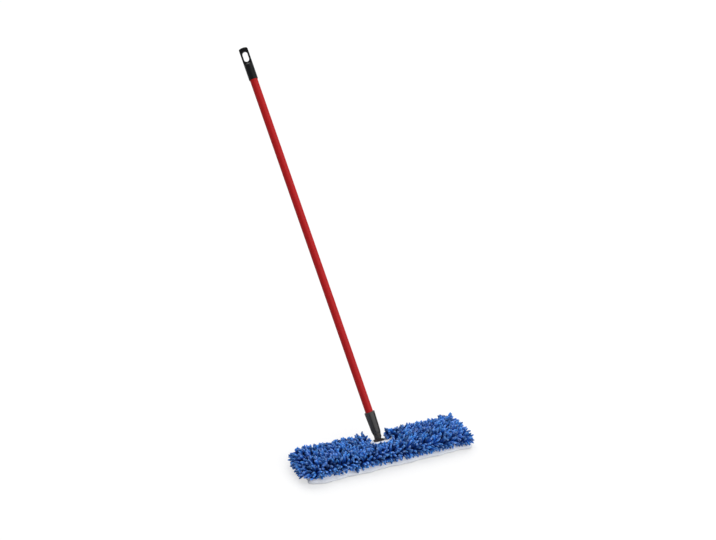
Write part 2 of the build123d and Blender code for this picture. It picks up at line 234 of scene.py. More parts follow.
def add_block(name, low, high, corner):
    """A box between two corners with its upright edges rounded."""
    low, high = Vector(low), Vector(high)
    bpy.ops.object.select_all(action="DESELECT")
    bpy.ops.mesh.primitive_cube_add(size=1, location=(low + high) / 2, scale=high - low)
    block = bpy.context.object
    block.name = name
    bpy.ops.object.transform_apply(location=True, rotation=True, scale=True)
    bpy.ops.object.mode_set(mode="EDIT")
    pick_upright_edges(block)
    bpy.ops.mesh.bevel(offset=corner, segments=5)
    bpy.ops.mesh.select_mode(type="VERT")
    bpy.ops.object.mode_set(mode="OBJECT")
    return block


def cut_away(piece, cutter):
    """Takes one object's room out of another and removes the cutter."""
    apply_modifier(piece, "BOOLEAN", operation="DIFFERENCE", solver="EXACT", object=cutter)
    bpy.data.objects.remove(cutter)


def notch_face():
    """Half width and front of the notch's bare opening."""
    rim = bpy.context.scene.mop_sleeve.rim
    return LINING_HIGH.x - rim, LINING_LOW.y + rim


def paint(piece, material):
    """Gives a piece its one material."""
    piece.data.materials.clear()
    piece.data.materials.append(material)


def dress(piece, material):
    """Paints a new piece."""
    paint(piece, material)


def add_node(tree, kind, inputs=None, **settings):
    """Adds a node with its settings. An input that is a socket is linked, any other is set."""
    node = tree.nodes.new(kind)
    for name, value in settings.items():
        setattr(node, name, value)
    for key, value in (inputs or {}).items():
        if isinstance(value, bpy.types.NodeSocket):
            tree.links.new(value, node.inputs[key])
        else:
            node.inputs[key].default_value = value
    return node


def start_material(name, inputs):
    """A material with one Principled shader, and the node tree, shader and surface place to build on."""
    material = bpy.data.materials.new(name)
    material.use_nodes = True
    tree = material.node_tree
    tree.nodes.clear()
    shader = add_node(tree, "ShaderNodeBsdfPrincipled", inputs)
    add_node(tree, "ShaderNodeOutputMaterial", {"Surface": shader.outputs["BSDF"]})
    place = add_node(tree, "ShaderNodeTexCoord").outputs["Object"]
    return material, tree, shader, place


def per_metre(millimetres):
    """Texture scale for a feature of that size."""
    return 1 / (millimetres * MM)


def toned(base_colour, share):
    """A colour made darker or lighter."""
    return [min(1.0, c * share) for c in base_colour[:3]] + [1.0]


def cloud(tree, shader, place, base_colour, size_mm, dark, light):
    """Lets a colour drift from a darker to a lighter tone over clouds of that size, and gives the clouds."""
    clouds = add_node(tree, "ShaderNodeTexNoise", {
        "Vector": place, "Scale": per_metre(size_mm), "Detail": 3.0}).outputs["Fac"]
    tones = add_node(tree, "ShaderNodeMix", {
        "Factor": clouds, "A": toned(base_colour, dark), "B": toned(base_colour, light)}, data_type="RGBA")
    tree.links.new(tones.outputs["Result"], shader.inputs["Base Color"])
    return clouds


def grain(tree, shader, place, size_mm, depth_mm):
    """Raises fine grit of that size and depth on a surface."""
    grit = add_node(tree, "ShaderNodeTexNoise", {
        "Vector": place, "Scale": per_metre(size_mm), "Detail": 3.0})
    skin = add_node(tree, "ShaderNodeBump", {"Height": grit.outputs["Fac"], "Distance": depth_mm * MM})
    tree.links.new(skin.outputs["Normal"], shader.inputs["Normal"])


def chenille_yarn(colours):
    """Microfibre chenille: short split fibres round a core. It scatters light softly and looks velvety."""
    material, tree, shader, place = start_material("chenille_yarn", {
        "Roughness": 0.8, "Specular IOR Level": 0.08, "Sheen Weight": 0.15, "Sheen Roughness": 0.35,
        "Sheen Tint": colours.finger_sheen})
    along = add_node(tree, "ShaderNodeAttribute", attribute_name="along").outputs["Fac"]
    shade = add_node(tree, "ShaderNodeAttribute", attribute_name="shade").outputs["Fac"]
    # Along the finger the colour runs from painted shade at the root, deep in the pile, to painted light at
    # the outer part
    ramp = add_node(tree, "ShaderNodeValToRGB", {"Fac": along})
    stops = ramp.color_ramp.elements
    stops[0].color = colours.finger_root
    stops[0].position = 0.05
    stops[1].color = colours.finger_tip
    stops.new(0.55).color = colours.finger_body
    stops.new(0.86).color = colours.finger_end
    # Tufts are about 1.6 mm here, coarser than the real fibre ends, so that they show
    tufts = add_node(tree, "ShaderNodeTexNoise", {
        "Vector": place, "Scale": per_metre(1.6), "Detail": 3.0}).outputs["Fac"]
    finger_tone = add_node(tree, "ShaderNodeMapRange", {"Value": shade, "To Min": 0.48, "To Max": 1.55})
    tuft_tone = add_node(tree, "ShaderNodeMapRange", {"Value": tufts, "To Min": 0.6, "To Max": 1.4})
    tone = add_node(tree, "ShaderNodeMath", {
        0: finger_tone.outputs[0], 1: tuft_tone.outputs[0]}, operation="MULTIPLY")
    yarn = add_node(tree, "ShaderNodeVectorMath", {
        0: ramp.outputs["Color"], "Scale": tone.outputs[0]}, operation="SCALE")
    # The dye drifts from a green blue to a violet one over patches of a few fingers, as factors on the yarn
    green_blue, violet_blue = (0.7, 1.16, 1.08, 1), (1.25, 0.95, 1.0, 1)
    patches = add_node(tree, "ShaderNodeTexNoise", {"Vector": place, "Scale": per_metre(30), "Detail": 3.0})
    drift = add_node(tree, "ShaderNodeMapRange", {
        "Value": patches.outputs["Fac"], "From Min": 0.25, "From Max": 0.75})
    dye = add_node(tree, "ShaderNodeMix", {
        "Factor": drift.outputs[0], "A": green_blue, "B": violet_blue}, data_type="RGBA")
    dyed = add_node(tree, "ShaderNodeVectorMath", {
        0: yarn.outputs["Vector"], 1: dye.outputs["Result"]}, operation="MULTIPLY")
    # Here and there a finger's outer half gets painted highlights, spots that stand for bent-over fibre ends
    # catching the light
    ends = add_node(tree, "ShaderNodeTexNoise", {"Vector": place, "Scale": per_metre(4.5), "Detail": 3.0})
    highlight_spots = add_node(tree, "ShaderNodeMapRange", {
        "Value": ends.outputs["Fac"], "From Min": 0.53, "From Max": 0.68, "To Max": 0.8})
    outer = add_node(tree, "ShaderNodeMapRange", {"Value": along, "From Min": 0.4, "From Max": 0.75})
    catch = add_node(tree, "ShaderNodeMath", {
        0: highlight_spots.outputs[0], 1: outer.outputs[0]}, operation="MULTIPLY")
    highlighted = add_node(tree, "ShaderNodeMix", {
        "Factor": catch.outputs[0], "A": dyed.outputs["Vector"], "B": colours.finger_highlight}, data_type="RGBA")
    tree.links.new(highlighted.outputs["Result"], shader.inputs["Base Color"])
    fuzz = add_node(tree, "ShaderNodeBump", {"Height": tufts, "Distance": 1.3 * MM})
    tree.links.new(fuzz.outputs["Normal"], shader.inputs["Normal"])
    return material


def knit_backing(colours):
    """Warp-knitted polyester that the fingers are tufted into: dull, with a fine stitch grid."""
    material, tree, shader, place = start_material("knit_backing", {
        "Roughness": 0.95, "Specular IOR Level": 0.15})
    stitches = add_node(tree, "ShaderNodeTexVoronoi", {
        "Vector": place, "Scale": per_metre(2.5)}).outputs["Distance"]
    knit = add_node(tree, "ShaderNodeMix", {
        "Factor": stitches, "A": toned(colours.backing, 1.3), "B": toned(colours.backing, 0.6)},
        data_type="RGBA")
    tree.links.new(knit.outputs["Result"], shader.inputs["Base Color"])
    loops = add_node(tree, "ShaderNodeBump", {"Height": stitches, "Distance": 0.6 * MM}, invert=True)
    tree.links.new(loops.outputs["Normal"], shader.inputs["Normal"])
    return material


def white_microfibre(colours):
    """Flat white microfibre cloth: a fine rib knit, soft and dull, slightly grey where it was handled."""
    material, tree, shader, place = start_material("white_microfibre", {
        "Roughness": 0.9, "Specular IOR Level": 0.2, "Sheen Weight": 0.15, "Sheen Roughness": 0.5})
    cloud(tree, shader, place, colours.cloth, 45, 0.93, 1.05)
    # Ribs every 2 mm, drawn a little coarser than the knit so that they show
    ribs = add_node(tree, "ShaderNodeTexWave", {
        "Vector": place, "Scale": per_metre(2.0) / (2 * math.pi), "Distortion": 2.0, "Detail": 2.0,
        "Detail Scale": 2.0}, wave_type="BANDS", bands_direction="X")
    nap = add_node(tree, "ShaderNodeTexNoise", {"Vector": place, "Scale": per_metre(1.2), "Detail": 3.0})
    ribbed = add_node(tree, "ShaderNodeBump", {"Height": ribs.outputs["Fac"], "Distance": 0.25 * MM})
    napped = add_node(tree, "ShaderNodeBump", {
        "Height": nap.outputs["Fac"], "Distance": 0.35 * MM, "Normal": ribbed.outputs["Normal"]})
    tree.links.new(napped.outputs["Normal"], shader.inputs["Normal"])
    return material


def powder_coat(colours):
    """Red powder coat on steel tube: satin, with faint orange peel."""
    material, tree, shader, place = start_material("powder_coat", {"Specular IOR Level": 0.18})
    cloud(tree, shader, place, colours.tube, 60, 0.9, 1.08)
    wear = add_node(tree, "ShaderNodeTexNoise", {"Vector": place, "Scale": per_metre(8), "Detail": 3.0})
    satin = add_node(tree, "ShaderNodeMapRange", {
        "Value": wear.outputs["Fac"], "To Min": 0.42, "To Max": 0.54})
    tree.links.new(satin.outputs[0], shader.inputs["Roughness"])
    grain(tree, shader, place, 1.6, 0.03)
    return material


def moulded_plastic(name, base_colour, roughness, grit_mm, grit_depth_mm, specular=0.16):
    """Moulded polypropylene: even colour, a fine spark-eroded grain and faint flow marks."""
    material, tree, shader, place = start_material(name, {"IOR": 1.49, "Specular IOR Level": specular})
    flow = cloud(tree, shader, place, base_colour, 14, 0.8, 1.2)
    polish = add_node(tree, "ShaderNodeMapRange", {
        "Value": flow, "To Min": roughness - 0.06, "To Max": roughness + 0.08})
    tree.links.new(polish.outputs[0], shader.inputs["Roughness"])
    grain(tree, shader, place, grit_mm, grit_depth_mm)
    return material


def grooved_plastic(colours):
    """Moulded polypropylene whose grooves are painted darker, as painted shade and dust, so that the panels
    between stand out.
    """
    # The grooves' number, and the middle and half length of the stretch over the pin that they run along
    grooves, middle, half_run = 6, 36 * MM, 26 * MM
    material = moulded_plastic("grooved_polypropylene", colours.socket, 0.5, 0.7, 0.06, 0.42)
    tree = material.node_tree
    shader = next(node for node in tree.nodes if node.type == "BSDF_PRINCIPLED")
    record = frame["record"]
    pin = next(joint for joint in record["behaviour"]["joints"] if joint["name"] == "side_swivel")
    grip = next(mount for mount in record["mounts"] if mount["name"] == "tube_grip")
    z_axis, y_axis = Vector(grip["axis"]), Vector(pin["axis"])
    place = add_node(tree, "ShaderNodeTexCoord").outputs["Object"]
    arm = add_node(tree, "ShaderNodeVectorMath", {0: place, 1: pin["pos_m"]}, operation="SUBTRACT").outputs[0]
    x, y, z = (
        add_node(tree, "ShaderNodeVectorMath", {0: arm, 1: axis}, operation="DOT_PRODUCT").outputs["Value"]
        for axis in (y_axis.cross(z_axis), y_axis, z_axis))
    angle = add_node(tree, "ShaderNodeMath", {0: y, 1: x}, operation="ARCTAN2").outputs[0]
    panels = add_node(tree, "ShaderNodeMath", {
        0: angle, 1: grooves / (2 * math.pi)}, operation="MULTIPLY").outputs[0]
    across = add_node(tree, "ShaderNodeMath", {0: panels, 1: 0.5}, operation="PINGPONG").outputs[0]
    panel = add_node(tree, "ShaderNodeMapRange", {
        "Value": across, "From Min": 0.08, "From Max": 0.17, "To Min": 0.2})
    grooved = add_node(tree, "ShaderNodeMath", {0: z, 1: middle, 2: half_run}, operation="COMPARE").outputs[0]
    plain = add_node(tree, "ShaderNodeMath", {0: 1.0, 1: grooved}, operation="SUBTRACT").outputs[0]
    shade = add_node(tree, "ShaderNodeMath", {0: panel.outputs[0], 1: plain}, operation="MAXIMUM").outputs[0]
    # The grooves over the pin are painted darker: painted shade and dust in the hollows
    base = shader.inputs["Base Color"].links[0].from_socket
    groove_shade_and_dust = add_node(tree, "ShaderNodeVectorMath", {0: base, "Scale": shade}, operation="SCALE")
    tree.links.new(groove_shade_and_dust.outputs["Vector"], shader.inputs["Base Color"])
    return material


def metal(name, base_colour, roughness):
    """Plated steel: an even metal gloss broken by fine turning marks."""
    material, tree, shader, place = start_material(name, {"Metallic": 1.0, "Base Color": base_colour})
    plating = add_node(tree, "ShaderNodeTexNoise", {"Vector": place, "Scale": per_metre(3), "Detail": 3.0})
    polish = add_node(tree, "ShaderNodeMapRange", {
        "Value": plating.outputs["Fac"], "To Min": roughness - 0.1, "To Max": roughness + 0.1})
    tree.links.new(polish.outputs[0], shader.inputs["Roughness"])
    grain(tree, shader, place, 0.8, 0.02)
    return material


def sew_sleeve(sizes):
    """The closed sleeve as it is cut: a thin slab with rounded corners and the notch taken out."""
    slack = sizes.slack
    low = (-HALF_LENGTH + slack, -HALF_WIDTH + slack, slack / 2)
    high = (HALF_LENGTH - slack, HALF_WIDTH - slack, CORE_TOP - slack / 2)
    sleeve = add_block("sleeve", low, high, sizes.corner)
    half, front = notch_face()
    reach = sizes.seam_allowance
    cutter_low = (-half - reach, front - reach, -CORE_TOP)
    cutter_high = (half + reach, 2 * HALF_WIDTH, 2 * CORE_TOP)
    cut_away(sleeve, add_block("notch_cutter", cutter_low, cutter_high, LINING_HIGH.x - half))
    apply_modifier(sleeve, "REMESH", mode="VOXEL", voxel_size=sizes.cloth_grid)
    return sleeve


def stuff_sleeve(sleeve, sizes):
    """Blows the sleeve up from inside as cloth, and keeps each point within reach of where it was cut."""
    cut_places = [point.co.copy() for point in sleeve.data.vertices]
    activate(sleeve)
    cloth = sleeve.modifiers.new("Cloth", "CLOTH")
    cloth.settings.quality = 6
    cloth.settings.mass = 0.25
    cloth.settings.tension_stiffness = 20
    cloth.settings.compression_stiffness = 20
    cloth.settings.bending_stiffness = 0.4
    cloth.settings.use_pressure = True
    cloth.settings.uniform_pressure_force = sizes.stuffing
    cloth.settings.effector_weights.gravity = 0
    for number in range(1, SETTLING_FRAMES + 1):
        bpy.context.scene.frame_set(number)
    bpy.ops.object.modifier_apply(modifier=cloth.name)
    bpy.context.scene.frame_set(1)
    half, front = notch_face()
    for point, cut in zip(sleeve.data.vertices, cut_places):
        moved = point.co - cut
        # The lining holds the cloth flat round the notch
        reach = sizes.swell * ease(max(abs(cut.x) - half, front - cut.y), sizes.rim, 3 * sizes.rim)
        if moved.length > reach:
            point.co = cut + moved.normalized() * reach
        point.co.z = max(point.co.z, 0)


def inside(place):
    """How far inside the head's outline a place lies."""
    return min(HALF_LENGTH - abs(place.x), HALF_WIDTH - abs(place.y))


def gather_sleeve(sleeve, sizes):
    """Puckers the sleeve's sides towards the seam and draws the seam in."""
    pucker_reach, draw_reach, thread_width = 8 * MM, 6 * MM, 2 * MM
    apply_modifier(sleeve, "SUBSURF", levels=1, render_levels=1)
    side = sleeve.vertex_groups.new(name="side")
    bands = {}
    for point in sleeve.data.vertices:
        near_edge = min(1.0, max(0.0, 1 - inside(point.co) / pucker_reach))
        bands.setdefault(round(near_edge, 1), []).append(point.index)
    for weight, members in bands.items():
        side.add(members, weight, "REPLACE")
    folds = bpy.data.textures.new("folds", "CLOUDS")
    folds.noise_scale = sizes.pucker_spacing
    apply_modifier(sleeve, "DISPLACE", texture=folds, texture_coords="LOCAL", vertex_group="side",
                   strength=2 * sizes.pucker, mid_level=0.5)
    for point in sleeve.data.vertices:
        if inside(point.co) < draw_reach:
            draw = sizes.seam_draw * math.exp(-((point.co.z - SEAM_Z) / thread_width) ** 2)
            outward = Vector((point.normal.x, point.normal.y, 0))
            point.co -= outward * draw
        point.co.z = max(point.co.z, 0)


def fit_sleeve(sleeve, sizes):
    """Draws the sleeve round the frame: its back lies outside the frame, and its notch against the lining."""
    back_depth, frame_corner = 8 * MM, 20 * MM
    back_gap, notch_corner_gap = 1.2 * MM, 0.7 * MM
    half, front = notch_face()
    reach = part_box("frame_lower_half")[1]
    facings = [point.normal.copy() for point in sleeve.data.vertices]
    for point, facing in zip(sleeve.data.vertices, facings):
        aside = abs(point.co.x)
        at_back = point.co.y > reach.y - back_depth and aside < reach.x - frame_corner
        in_notch = facing.x * point.co.x < -0.7 * aside and point.co.y > front and aside < half + sizes.rim
        if in_notch:
            point.co.x = math.copysign(min(aside, half + 0.8 * sizes.seam_allowance), point.co.x)
            if at_back and facing.y > 0.45:
                point.co.y = max(point.co.y, reach.y + notch_corner_gap)
        elif at_back and facing.y > max(0.5, abs(facing.x)):
            point.co.y = max(point.co.y, reach.y + back_gap)


def pull_ears(sleeve, sizes):
    """Pulls the floor cloth's corners out into ears, as a sewn corner has. The front left one slants back."""
    ear_span = 26 * MM
    for point in sleeve.data.vertices:
        slanted = point.co.x < 0 and point.co.y < 0
        aside, outward = (1.5, -1.1) if slanted else (1.0, 0.6)
        near_x = ease(abs(point.co.x), HALF_LENGTH - ear_span, HALF_LENGTH)
        near_y = ease(abs(point.co.y), HALF_WIDTH - ear_span, HALF_WIDTH)
        low = 1 - ease(point.co.z, 0.4 * SEAM_Z, SEAM_Z)
        pull = sizes.ear * near_x * near_y * low
        point.co.x += aside * math.copysign(pull, point.co.x)
        point.co.y += outward * math.copysign(pull, point.co.y)


def slip_sleeve(sleeve, sizes):
    """Slips the sleeve's loose left end off the frame's end, into a round flap."""
    for point in sleeve.data.vertices:
        near = ease(-point.co.x, HALF_LENGTH - 70 * MM, HALF_LENGTH)
        across = min(1.0, abs(point.co.y) / HALF_WIDTH)
        held = 0.75 if point.co.y < 0 else 0.45
        point.co.x -= sizes.overhang * near * (1 - held * across ** 3)


def roll_front(sleeve, sizes):
    """Rolls the floor cloth out in loose waves along the head's front."""
    for point in sleeve.data.vertices:
        near = 1 - ease(point.co.y + HALF_WIDTH, 4 * MM, 34 * MM)
        low = 1 - ease(point.co.z, 0.45 * SEAM_Z, 1.1 * SEAM_Z)
        long_wave, short_wave = math.sin(point.co.x / (17 * MM)), math.sin(point.co.x / (6.5 * MM) + 1)
        point.co.y -= sizes.roll * near * low * (1 + 0.12 * long_wave + 0.07 * short_wave)


def split_sleeve(sleeve, keep_lower, name):
    """One side of the sleeve, cut at the seam and closed there."""
    part = sleeve.copy()
    part.data = sleeve.data.copy()
    part.name = name
    bpy.context.scene.collection.objects.link(part)
    activate(part)
    bpy.ops.object.mode_set(mode="EDIT")
    bpy.ops.mesh.select_all(action="SELECT")
    bpy.ops.mesh.bisect(plane_co=(0, 0, SEAM_Z), plane_no=(0, 0, 1), use_fill=True,
                        clear_outer=keep_lower, clear_inner=not keep_lower)
    bpy.ops.object.mode_set(mode="OBJECT")
    bpy.ops.object.shade_smooth()
    return part


class MOP_OT_sleeve(bpy.types.Operator):
    """Sews and stuffs the sleeve, a white floor cloth below its seam and the chenille's backing above it"""
    bl_idname = "mop.sleeve"
    bl_label = "Padded sleeve"

    def execute(self, context):
        sizes, colours = context.scene.mop_sleeve, context.scene.mop_colours
        sleeve = sew_sleeve(sizes)
        stuff_sleeve(sleeve, sizes)
        gather_sleeve(sleeve, sizes)
        fit_sleeve(sleeve, sizes)
        pull_ears(sleeve, sizes)
        slip_sleeve(sleeve, sizes)
        roll_front(sleeve, sizes)
        floor_cloth = split_sleeve(sleeve, True, "floor_cloth")
        backing = split_sleeve(sleeve, False, "chenille_backing")
        bpy.data.objects.remove(sleeve)
        dress(floor_cloth, white_microfibre(colours))
        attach(floor_cloth, HEAD)
        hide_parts("base_cloth", "base_foam")
        dress(backing, knit_backing(colours))
        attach(backing, HEAD)
        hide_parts("top_foam")
        return {"FINISHED"}


class MOP_OT_lining(bpy.types.Operator):
    """Folds the white lining into the notch and over its edge"""
    bl_idname = "mop.lining"
    bl_label = "Notch lining"

    def execute(self, context):
        sizes, colours = context.scene.mop_sleeve, context.scene.mop_colours
        node = frame["nodes"]["notch_binding"]
        lining = bpy.data.objects.new("notch_lining", node.data.copy())
        context.scene.collection.objects.link(lining)
        activate(lining)
        bpy.ops.object.mode_set(mode="EDIT")
        bpy.ops.mesh.select_all(action="SELECT")
        bpy.ops.mesh.remove_doubles(threshold=0.01 * MM)
        bpy.ops.mesh.select_all(action="SELECT")
        back = HALF_WIDTH - sizes.slack - 3 * sizes.seam_allowance
        bpy.ops.mesh.bisect(plane_co=(0, back, 0), plane_no=(0, 1, 0), use_fill=True, clear_outer=True)
        bpy.ops.object.mode_set(mode="OBJECT")
        apply_modifier(lining, "REMESH", mode="VOXEL", voxel_size=sizes.lining_grid)
        apply_modifier(lining, "SMOOTH", factor=0.5, iterations=12)
        apply_modifier(lining, "DISPLACE", strength=0.5 * MM, mid_level=0)
        activate(lining)
        bpy.ops.object.shade_smooth()
        dress(lining, white_microfibre(colours))
        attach(lining, HEAD)
        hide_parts("notch_binding")
        return {"FINISHED"}


def model_finger(pile, bend):
    """One chenille finger on the Z axis, plump in the middle and round at the tip, bent towards +Y."""
    steps = len(FINGER_SHAPE) - 1
    bpy.ops.object.select_all(action="DESELECT")
    bpy.ops.mesh.primitive_cylinder_add(
        vertices=7, radius=pile.finger_width / 2, depth=pile.finger_length,
        location=(0, 0, pile.finger_length / 2))
    finger = bpy.context.object
    bpy.ops.object.transform_apply(location=True, rotation=True, scale=True)
    bpy.ops.object.mode_set(mode="EDIT")
    pick_upright_edges(finger)
    bpy.ops.mesh.subdivide(number_cuts=steps - 1)
    bpy.ops.mesh.select_mode(type="VERT")
    for ring, share in enumerate(FINGER_SHAPE):
        height = pile.finger_length * ring / steps
        pick_points(finger, lambda point: abs(point.co.z - height) < 0.1 * MM)
        bpy.ops.transform.resize(value=(share, share, 1))
    bpy.ops.object.mode_set(mode="OBJECT")
    shares = [point.co.z / pile.finger_length for point in finger.data.vertices]
    finger.data.attributes.new("along", "FLOAT", "POINT").data.foreach_set("value", shares)
    finger.data.attributes.new("shade", "FLOAT", "POINT")
    bpy.ops.object.mode_set(mode="EDIT")
    for ring in range(1, steps):
        mesh = bmesh.from_edit_mesh(finger.data)
        along = mesh.verts.layers.float["along"]
        members = [point.co for point in mesh.verts if abs(point[along] - ring / steps) < 0.5 / steps]
        centre = sum(members, Vector()) / len(members)
        pick_points(finger, lambda point: point[along] > (ring + 0.5) / steps)
        bpy.ops.transform.rotate(value=bend / (steps - 1), orient_axis="X", center_override=centre)
    bpy.ops.object.mode_set(mode="OBJECT")
    bpy.ops.object.shade_smooth()
    return finger


def plant(finger, root, lean, droop, stretch, shade):
    """A copy of a finger from its root point along a direction, with its bend towards another."""
    z_axis = lean.normalized()
    y_axis = droop - z_axis * droop.dot(z_axis)
    y_axis.normalize()
    x_axis = y_axis.cross(z_axis)
    turned = Matrix((x_axis, y_axis, z_axis)).transposed().to_4x4()
    size = Matrix.Diagonal((stretch[0], stretch[0], stretch[1], 1))
    mesh = finger.data.copy()
    mesh.transform(Matrix.Translation(root) @ turned @ size)
    mesh.attributes["shade"].data.foreach_set("value", [shade] * len(mesh.vertices))
    copy = bpy.data.objects.new("finger", mesh)
    bpy.context.scene.collection.objects.link(copy)
    return copy


def comb(pile, x, y):
    """Sideways lean (as slopes) and length share of the pile at a place on the head's top."""
    half, front = notch_face()
    rim = bpy.context.scene.mop_sleeve.rim
    along, across = x / HALF_LENGTH, y / HALF_WIDTH
    from_front, from_back = y + HALF_WIDTH, HALF_WIDTH - y
    # How much a place belongs to the front fringe, the back edge, either end and the right half
    fringe = 1 - ease(from_front, pile.parting - 9 * MM, pile.parting + 5 * MM)
    fringe *= 1 - 0.4 * ease(along, 0.65, 0.95)
    back = 1 - ease(from_back, 0, 32 * MM)
    left = 1 - ease(x + HALF_LENGTH, -14 * MM, 20 * MM)
    right = 1 - ease(HALF_LENGTH - x, 0, 30 * MM)
    to_right = ease(x, -60 * MM, 110 * MM)
    # The pile leans to the right and out at the ends. In front of its parting it is combed forward, else back
    lean_x = 0.08 + 0.65 * to_right - 1.1 * left + (0.4 + 0.35 * across) * right
    lean_y = -(0.45 + 0.5 * (1 - ease(from_front, 0, pile.parting))) * fringe
    lean_y += (1 - fringe) * (0.12 + 0.18 * to_right + 0.5 * back) + 0.5 * left * across
    # It is shorter at the back and in the fringe, and a little longer to the right
    share = 1 - 0.32 * back * (1 - 0.5 * ease(-along, 0.7, 1)) - 0.2 * fringe
    share += 0.1 * to_right - 0.14 * fringe * ease(-along, 0.35, 0.7)
    # In front of the notch the pile lies flat, so that the lining's rim shows
    before_notch = 1 - ease(abs(x), half + 4 * MM, half + 22 * MM)
    before_notch *= 1 - ease(front - rim - y, 4 * MM, 42 * MM)
    lean_y -= 0.85 * before_notch
    share -= 0.12 * before_notch
    # Beside the notch it stands up in a fan on the left and hangs over the lining on the right
    beside = 1 - ease(abs(x) - half - rim, 4 * MM, 22 * MM)
    beside *= ease(y, front - rim, front)
    lean_x -= (0.72 if x < 0 else 0.6) * beside
    lean_y *= 1 - 0.6 * beside
    share += (0.32 if x < 0 else 0.2) * beside
    return lean_x, lean_y, share


def top_fingers(pile, backing, templates, draw):
    """Fingers that stand on the head's top in rows, apart from the notch and its lining's rim."""
    half, front = notch_face()
    bare = bpy.context.scene.mop_sleeve.rim + 0.5 * MM
    row_pitch = pile.pitch * 0.87
    rows = int(2 * HALF_WIDTH / row_pitch)
    columns = int(2 * (HALF_LENGTH + bpy.context.scene.mop_sleeve.overhang) / pile.pitch)
    fingers = []
    for row in range(rows + 1):
        for column in range(columns + 1):
            x = (column - columns / 2 + 0.5 * (row % 2)) * pile.pitch + draw.uniform(-1.8, 1.8) * MM
            y = (row - rows / 2) * row_pitch + draw.uniform(-1.8, 1.8) * MM
            sway_x, sway_y, twist = draw.uniform(-0.6, 0.6), draw.uniform(-0.5, 0.5), draw.uniform(-0.8, 0.8)
            thick, long, shade = draw.uniform(0.88, 1.1), draw.uniform(0.9, 1.14), draw.random()
            template = draw.choice(templates)
            if abs(x) < half + bare and y > front - bare:
                continue
            root, normal, *_ = backing.ray_cast(Vector((x, y, 3 * CORE_TOP)), -UP)
            if not root or normal.z < 0.3:
                continue
            lean_x, lean_y, share = comb(pile, x, y)
            lean = Vector((lean_x + sway_x, lean_y + sway_y, 1))
            droop = Vector((lean.x + twist, lean.y - twist, -0.6))
            fingers.append(plant(template, root - UP * 1.5 * MM, lean, droop, (thick, long * share), shade))
    return fingers


def rim_fingers(pile, templates, draw):
    """Three rows on the lining's right rim: one stands, one lies over it and one hangs down the notch."""
    # Lean, droop and length share of each row
    rows = (((0, -0.1, 1), (0, 0.3, -0.6), 0.7),
            ((-0.9, -0.3, 0.45), (0.1, 0, -1), 0.5),
            ((-0.7, -0.1, -0.55), (0.4, 0, -1), 0.58))
    half, front = notch_face()
    near, far = front + 4 * MM, HALF_WIDTH - 4 * MM
    count = int((far - near) / (0.55 * pile.pitch))
    fingers = []
    for number in range(count):
        y = near + (far - near) * (number + 0.5) / count
        for lean, droop, share in rows:
            sway = Vector((draw.uniform(-0.25, 0.15), draw.uniform(-0.25, 0.25), 0))
            stretch = (draw.uniform(0.88, 1.08), share * draw.uniform(0.9, 1.12))
            root = Vector((half + 4.5 * MM, y + draw.uniform(-1.5, 1.5) * MM, LINING_HIGH.z - 0.5 * MM))
            template, shade = draw.choice(templates), draw.random()
            fingers.append(plant(template, root, Vector(lean) + sway, Vector(droop), stretch, shade))
    return fingers


def edge_fingers(pile, backing, templates, draw):
    """Fingers that stand out from the head's edge, long at the left end and tufted at the right corners."""
    half, front = notch_face()
    bare = half + bpy.context.scene.mop_sleeve.rim + 2 * MM
    around = 4 * (STRAIGHT_X + STRAIGHT_Y) + 2 * math.pi * EDGE_CORNER
    count = int(around / pile.pitch)
    fingers = []
    for level in (0.1, 0.45, 0.8):
        height = SEAM_Z + (CORE_TOP - SEAM_Z) * level
        for number in range(count):
            sway, rise, twist = draw.uniform(-0.5, 0.5), draw.uniform(-0.3, 0.35), draw.uniform(-0.8, 0.8)
            thick, long, shade = draw.uniform(0.8, 0.98), draw.uniform(0.88, 1.14), draw.random()
            template = draw.choice(templates)
            place, outward = edge_place((number + level + draw.uniform(-0.25, 0.25)) / count)
            # The lowest row is only at the left end, and none is at the notch
            if outward.x > -0.3 and level < 0.3 or place.y > front and abs(place.x) < bare:
                continue
            start = Vector((place.x, place.y, height)) + outward * 60 * MM
            root = backing.ray_cast(start, -outward)[0]
            if not root:
                continue
            to_left, to_right = max(0, -outward.x), max(0, outward.x)
            to_front, to_back = max(0, -outward.y), max(0, outward.y)
            front_tuft, back_tuft = 2 * to_right * to_front, 2 * to_right * to_back
            # Over the floor cloth's slanted corner the front fingers are short and lie higher
            bare_corner = to_front * ease(-place.x / HALF_LENGTH, 0.45, 0.75)
            share = 0.46 + 0.65 * to_left + (0.3 + 0.2 * outward.y) * to_right + 0.1 * to_front
            share += 0.7 * back_tuft + 0.3 * front_tuft - 0.24 * bare_corner
            slope = 0.15 + 0.3 * level + rise - 0.3 * to_front * (1 - 3.4 * to_left)
            slope += 0.12 * back_tuft - 0.3 * front_tuft + 0.4 * bare_corner
            aside = outward.cross(UP)
            lean = outward + UP * slope + aside * sway
            droop = -UP + aside * twist
            stretch = (thick, long * share)
            fingers.append(plant(template, root - outward * 2 * MM, lean, droop, stretch, shade))
    return fingers


def edge_place(share):
    """A point and outward direction on the edge fingers' line, at a share of the way round it."""
    turn = EDGE_CORNER * math.pi / 2
    runs = (2 * STRAIGHT_X, turn, 2 * STRAIGHT_Y, turn) * 2
    signs = ((1, -1), (1, 1), (-1, 1), (-1, -1))
    corners = [Vector((x * STRAIGHT_X, y * STRAIGHT_Y, 0)) for x, y in signs]
    rest = (share % 1) * sum(runs)
    number = 0
    while number < len(runs) - 1 and rest > runs[number]:
        rest -= runs[number]
        number += 1
    side, turning = divmod(number, 2)
    facing = math.radians(90 * side - 90) + (rest / EDGE_CORNER if turning else 0)
    outward = Vector((math.cos(facing), math.sin(facing), 0))
    if turning:
        return corners[side] + outward * EDGE_CORNER, outward
    along = Vector((-outward.y, outward.x, 0))
    return corners[side - 1] + along * rest + outward * EDGE_CORNER, outward


def field_of(root, cut):
    """The field a finger is in: left, front or right of the notch, or the rim that the socket presses."""
    half, front = notch_face()
    if root.x < -cut:
        return "left"
    if root.x < cut:
        return "front"
    return "rim" if root.x < half + 18 * MM and root.y > front else "right"


